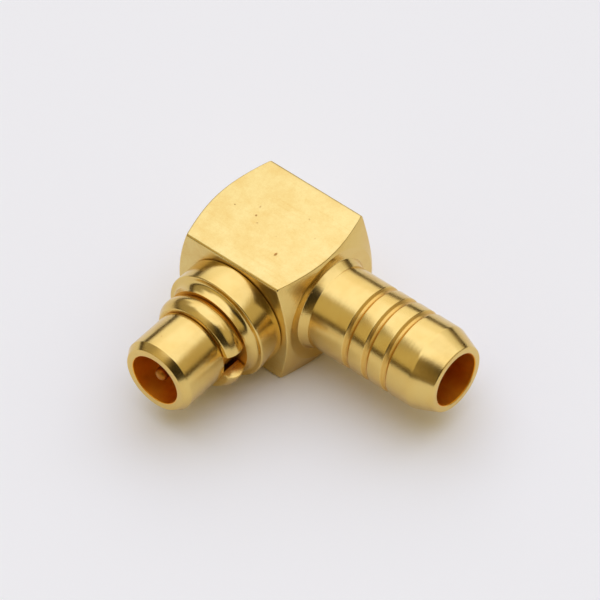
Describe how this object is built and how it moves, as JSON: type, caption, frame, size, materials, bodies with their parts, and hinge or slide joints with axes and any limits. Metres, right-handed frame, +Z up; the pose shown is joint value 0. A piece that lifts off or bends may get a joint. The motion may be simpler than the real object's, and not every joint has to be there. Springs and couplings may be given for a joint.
{
  "type": "right angle mmcx plug",
  "caption": "Right angle push-on coaxial plug: a square brass body with a turned plug and split snap ring on one side and a grooved crimp spigot on the other.",
  "frame": {"origin": "on the body's flat underside, right below the point where the plug's axis and the cable spigot's axis cross", "axes": "+X out along the cable spigot, -Y out along the mating plug, +Z up out of the body's flat top"},
  "size_m": [0.0089, 0.0074, 0.0038],
  "materials": {
    "body_plating": "gold plated brass, turned, with a satin milled flat on top",
    "shell_plating": "bright gold plated, fine turned",
    "ring_plating": "gold plated spring metal, tumbled",
    "contact_plating": "bright gold plated",
    "cap_plating": "gold plated, fine turned",
    "insulator": "white, waxy"
  },
  "bodies": {
    "connector": {"body": "body_plating", "plug_shell": "shell_plating", "centre_contact": "contact_plating", "front_insulator": "insulator", "cap_insulator": "insulator", "rear_cap": "cap_plating"},
    "split_ring": {"snap_ring": "ring_plating"}
  },
  "joints": [
    {"name": "ring_turn", "type": "hinge", "parent": "connector", "child": "split_ring", "pos_m": [0.00004, -0.00344, 0.00187], "axis": [0, -1, 0], "continuous": true}
  ]
}
